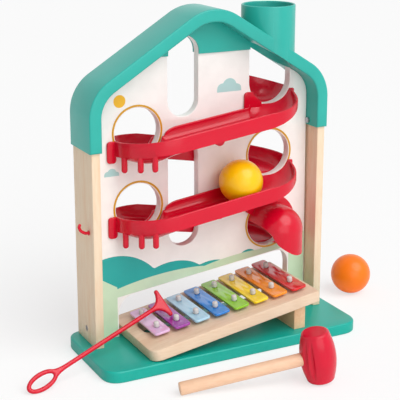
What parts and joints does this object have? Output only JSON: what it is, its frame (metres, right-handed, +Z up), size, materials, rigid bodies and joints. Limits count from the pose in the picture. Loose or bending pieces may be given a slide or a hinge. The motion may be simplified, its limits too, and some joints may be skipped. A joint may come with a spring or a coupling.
{
  "type": "ball run toy",
  "caption": "House-shaped wooden ball run: a chimney drops balls onto red tracks that cross a holed panel down to a sloping xylophone, with loose balls, mallet and rake.",
  "frame": {"origin": "on the base's underside, below the middle of the panel's thickness and the middle of the frame's width", "axes": "+X to the right along the panel as seen from the front, +Y to the back, +Z up"},
  "size_m": [0.4515, 0.2441, 0.3515],
  "materials": {
    "base_paint": "satin paint",
    "plain_wood": "clear satin",
    "panel_white": "gloss print",
    "roof_plastic": "satin",
    "red_plastic": "gloss",
    "screw_steel": "bright",
    "pin_plastic": "satin",
    "yellow_paint": "satin paint",
    "orange_paint": "satin paint",
    "red_paint": "gloss paint",
    "bar_lilac": "gloss paint",
    "bar_purple": "gloss paint",
    "bar_light_blue": "gloss paint",
    "bar_blue": "gloss paint",
    "bar_green": "gloss paint",
    "bar_yellow": "gloss paint",
    "bar_orange": "gloss paint",
    "bar_red": "gloss paint"
  },
  "bodies": {
    "frame": {"base_board": "base_paint", "left_post": "plain_wood", "right_post": "plain_wood", "play_panel": "panel_white", "roof_front_shell": "roof_plastic", "roof_rear_shell": "roof_plastic", "entry_funnel": "red_plastic", "exit_chute": "red_plastic", "tool_hook": "red_plastic", "xylophone_board": "plain_wood", "xylophone_riser": "plain_wood", "upper_front_track": "red_plastic", "upper_rear_track": "red_plastic", "lower_front_track": "red_plastic", "lower_rear_track": "red_plastic", "roof_screw_left": "screw_steel", "roof_screw_top": "screw_steel", "roof_screw_right": "screw_steel", "leg_screw_left": "screw_steel", "leg_screw_right": "screw_steel", "post_screw_left": "screw_steel", "post_screw_right": "screw_steel", "base_screw_left": "screw_steel", "base_screw_right": "screw_steel", "entry_funnel_screw": "screw_steel", "exit_chute_screw": "screw_steel", "upper_front_track_screw": "screw_steel", "upper_rear_track_screw": "screw_steel", "lower_front_track_screw": "screw_steel", "lower_rear_track_screw": "screw_steel", "bar_1_front_pin": "pin_plastic", "bar_1_rear_pin": "pin_plastic", "bar_2_front_pin": "pin_plastic", "bar_2_rear_pin": "pin_plastic", "bar_3_front_pin": "pin_plastic", "bar_3_rear_pin": "pin_plastic", "bar_4_front_pin": "pin_plastic", "bar_4_rear_pin": "pin_plastic", "bar_5_front_pin": "pin_plastic", "bar_5_rear_pin": "pin_plastic", "bar_6_front_pin": "pin_plastic", "bar_6_rear_pin": "pin_plastic", "bar_7_front_pin": "pin_plastic", "bar_7_rear_pin": "pin_plastic", "bar_8_front_pin": "pin_plastic", "bar_8_rear_pin": "pin_plastic"},
    "yellow_ball_body": {"yellow_ball": "yellow_paint"},
    "orange_ball_body": {"orange_ball": "orange_paint"},
    "mallet_body": {"mallet_head": "red_paint", "mallet_handle": "plain_wood"},
    "rake_body": {"ball_rake": "red_plastic"},
    "bar_1_body": {"bar_1": "bar_lilac"},
    "bar_2_body": {"bar_2": "bar_purple"},
    "bar_3_body": {"bar_3": "bar_light_blue"},
    "bar_4_body": {"bar_4": "bar_blue"},
    "bar_5_body": {"bar_5": "bar_green"},
    "bar_6_body": {"bar_6": "bar_yellow"},
    "bar_7_body": {"bar_7": "bar_orange"},
    "bar_8_body": {"bar_8": "bar_red"}
  },
  "joints": [
    {"name": "yellow_ball_roll", "type": "slide", "parent": "frame", "child": "yellow_ball_body", "axis": [-0.9913, 0, -0.1318], "range_m": [-0.018, 0.074]},
    {"name": "orange_ball_roll", "type": "slide", "parent": "frame", "child": "orange_ball_body", "axis": [1, 0, 0], "range_m": [-0.03, 0.1]},
    {"name": "mallet_lift", "type": "slide", "parent": "frame", "child": "mallet_body", "axis": [0, 0, 1], "range_m": [0, 0.15]},
    {"name": "rake_lift", "type": "slide", "parent": "frame", "child": "rake_body", "axis": [-0.5774, -0.5774, 0.5774], "range_m": [0, 0.12]},
    {"name": "bar_1_lift", "type": "slide", "parent": "frame", "child": "bar_1_body", "axis": [-0.1582, 0, 0.9874], "range_m": [0, 0.0005]},
    {"name": "bar_2_lift", "type": "slide", "parent": "frame", "child": "bar_2_body", "axis": [-0.1582, 0, 0.9874], "range_m": [0, 0.0005]},
    {"name": "bar_3_lift", "type": "slide", "parent": "frame", "child": "bar_3_body", "axis": [-0.1582, 0, 0.9874], "range_m": [0, 0.0005]},
    {"name": "bar_4_lift", "type": "slide", "parent": "frame", "child": "bar_4_body", "axis": [-0.1582, 0, 0.9874], "range_m": [0, 0.0005]},
    {"name": "bar_5_lift", "type": "slide", "parent": "frame", "child": "bar_5_body", "axis": [-0.1582, 0, 0.9874], "range_m": [0, 0.0005]},
    {"name": "bar_6_lift", "type": "slide", "parent": "frame", "child": "bar_6_body", "axis": [-0.1582, 0, 0.9874], "range_m": [0, 0.0005]},
    {"name": "bar_7_lift", "type": "slide", "parent": "frame", "child": "bar_7_body", "axis": [-0.1582, 0, 0.9874], "range_m": [0, 0.0005]},
    {"name": "bar_8_lift", "type": "slide", "parent": "frame", "child": "bar_8_body", "axis": [-0.1582, 0, 0.9874], "range_m": [0, 0.0005]}
  ]
}
